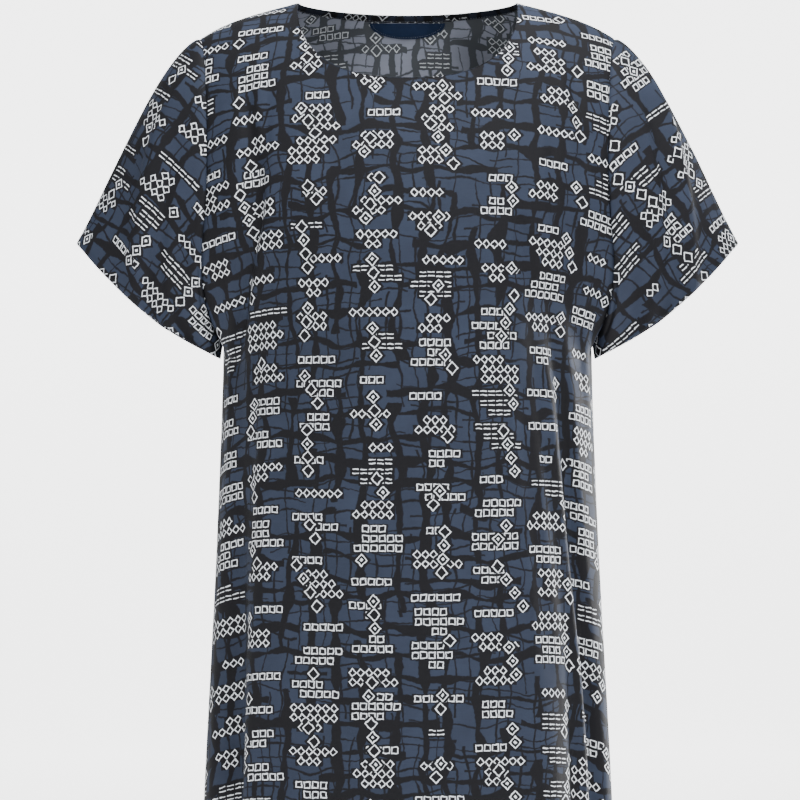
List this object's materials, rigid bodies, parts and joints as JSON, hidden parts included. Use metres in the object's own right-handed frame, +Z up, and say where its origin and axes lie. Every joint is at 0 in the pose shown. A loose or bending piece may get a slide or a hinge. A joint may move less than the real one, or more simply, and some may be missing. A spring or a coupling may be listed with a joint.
{
  "type": "maxi dress",
  "caption": "Loose straight maxi dress with a scooped neck, short set-in sleeves and an open hem, hanging hollow as worn.",
  "frame": {"origin": "midway between the two shoulder neck points, where the neckline meets the shoulder seams", "axes": "+Z up along the dress, -Y out of the front panel, +X to the wearer's left"},
  "size_m": [0.702, 0.3134, 1.3601],
  "materials": {
    "front_cloth": "fine smooth woven cloth with a soft sheen, printed on the outer side and paler on the inner side",
    "back_cloth": "fine smooth woven cloth with a soft sheen, printed on the outer side and paler on the inner side",
    "sleeve_right_cloth": "fine smooth woven cloth with a soft sheen, printed on the outer side and paler on the inner side",
    "sleeve_left_cloth": "fine smooth woven cloth with a soft sheen, printed on the outer side and paler on the inner side",
    "neck_facing_front_cloth": "fine smooth woven cloth with a soft sheen, printed on the outer side and paler on the inner side",
    "neck_facing_back_cloth": "fine smooth woven cloth with a soft sheen, printed on the outer side and paler on the inner side",
    "neck_patch_cloth": "plain matt navy woven cloth"
  },
  "bodies": {
    "root": {"front": "front_cloth", "back": "back_cloth", "sleeve_right": "sleeve_right_cloth", "sleeve_left": "sleeve_left_cloth", "neck_facing_front": "neck_facing_front_cloth", "neck_facing_back": "neck_facing_back_cloth", "neck_patch": "neck_patch_cloth"}
  },
  "joints": []
}
